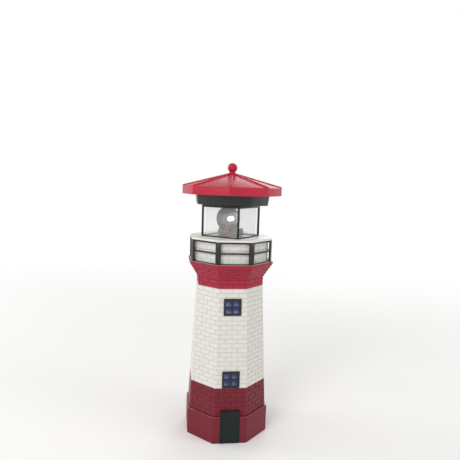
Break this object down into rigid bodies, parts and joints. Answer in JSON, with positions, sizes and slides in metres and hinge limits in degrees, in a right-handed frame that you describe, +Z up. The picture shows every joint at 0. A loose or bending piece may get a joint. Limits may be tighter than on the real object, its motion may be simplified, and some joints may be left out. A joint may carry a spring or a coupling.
{
  "type": "garden lighthouse ornament",
  "caption": "Octagonal brick lighthouse ornament with railed gallery, square lantern, hipped roof and a solar-charged turning beacon.",
  "frame": {"origin": "centre of the plinth's resting plane, under the tower's axis", "axes": "+Z up along the tower's axis, -Y out of the door, +X to the right of the door"},
  "size_m": [0.0998, 0.0998, 0.2794],
  "materials": {
    "lower_red_plastic": "satin moulded plastic",
    "red_plastic": "glossy moulded plastic",
    "white_plastic": "satin moulded plastic with brick relief",
    "black_plastic": "satin moulded plastic",
    "pane_blue": "glossy translucent plastic",
    "door_black": "satin moulded plastic",
    "clear_plastic": "clear moulded plastic",
    "steel": "bright",
    "brass": "satin",
    "dark_grey_plastic": "satin moulded plastic",
    "lamp_lens": "clear epoxy lamp with a lit chip",
    "solar_cell": "dark blue cell under glass",
    "circuit_green": "lacquered board",
    "gear_plastic": "natural acetal",
    "battery_sleeve": "plain sleeve",
    "lead_sheath": "flexible sheath"
  },
  "bodies": {
    "tower": {"lower_tower": "lower_red_plastic", "brick_tower": "white_plastic", "corbel": "red_plastic", "gallery_drum": "white_plastic", "railing": "black_plastic", "upper_window_frame": "black_plastic", "upper_window_panes": "pane_blue", "lower_window_frame": "black_plastic", "lower_window_panes": "pane_blue", "door": "door_black", "bottom_cover": "black_plastic", "bottom_screws": "steel"},
    "lantern_head": {"top_plate": "white_plastic", "lantern_frame": "black_plastic", "lantern_glazing": "clear_plastic", "collar": "black_plastic", "roof": "red_plastic", "finial": "red_plastic", "solar_cells": "solar_cell", "shaft_bush": "brass", "contact_brushes": "brass", "pack_case": "black_plastic", "pack_cover": "black_plastic", "pack_screws": "steel", "cover_screws": "steel", "circuit_board": "circuit_green", "board_screws": "steel", "motor": "steel", "battery": "battery_sleeve", "battery_spring": "steel", "battery_contacts": "brass", "switch_body": "dark_grey_plastic", "solar_leads": "lead_sheath", "motor_leads": "lead_sheath", "lamp_leads": "lead_sheath", "collar_screws": "steel"},
    "beacon": {"turntable": "dark_grey_plastic", "reflector": "dark_grey_plastic", "led": "lamp_lens", "led_leads": "lead_sheath", "slip_rings": "brass", "beacon_shaft": "steel", "drive_gear": "gear_plastic"},
    "motor_rotor": {"motor_shaft": "steel", "drive_pinion": "gear_plastic"},
    "switch_knob": {"switch_knob": "white_plastic"},
    "battery_door": {"battery_door": "black_plastic"}
  },
  "joints": [
    {"name": "head_lift", "type": "slide", "parent": "tower", "child": "lantern_head", "axis": [0, 0, 1], "range_m": [0, 0.05]},
    {"name": "beacon_spin", "type": "hinge", "parent": "lantern_head", "child": "beacon", "pos_m": [0, 0, 0.2], "axis": [0, 0, 1], "continuous": true},
    {"name": "motor_spin", "type": "hinge", "parent": "lantern_head", "child": "motor_rotor", "pos_m": [0.0192, 0, 0.19], "axis": [0, 0, 1], "continuous": true},
    {"name": "switch_slide", "type": "slide", "parent": "lantern_head", "child": "switch_knob", "axis": [0, 1, 0], "range_m": [0, 0.003]},
    {"name": "battery_door_hinge", "type": "hinge", "parent": "lantern_head", "child": "battery_door", "pos_m": [0, 0.0246, 0.1664], "axis": [1, 0, 0], "range_deg": [0, 90]}
  ],
  "couplings": [
    {"joint": "motor_spin", "follows": "beacon_spin", "ratio": -3}
  ]
}
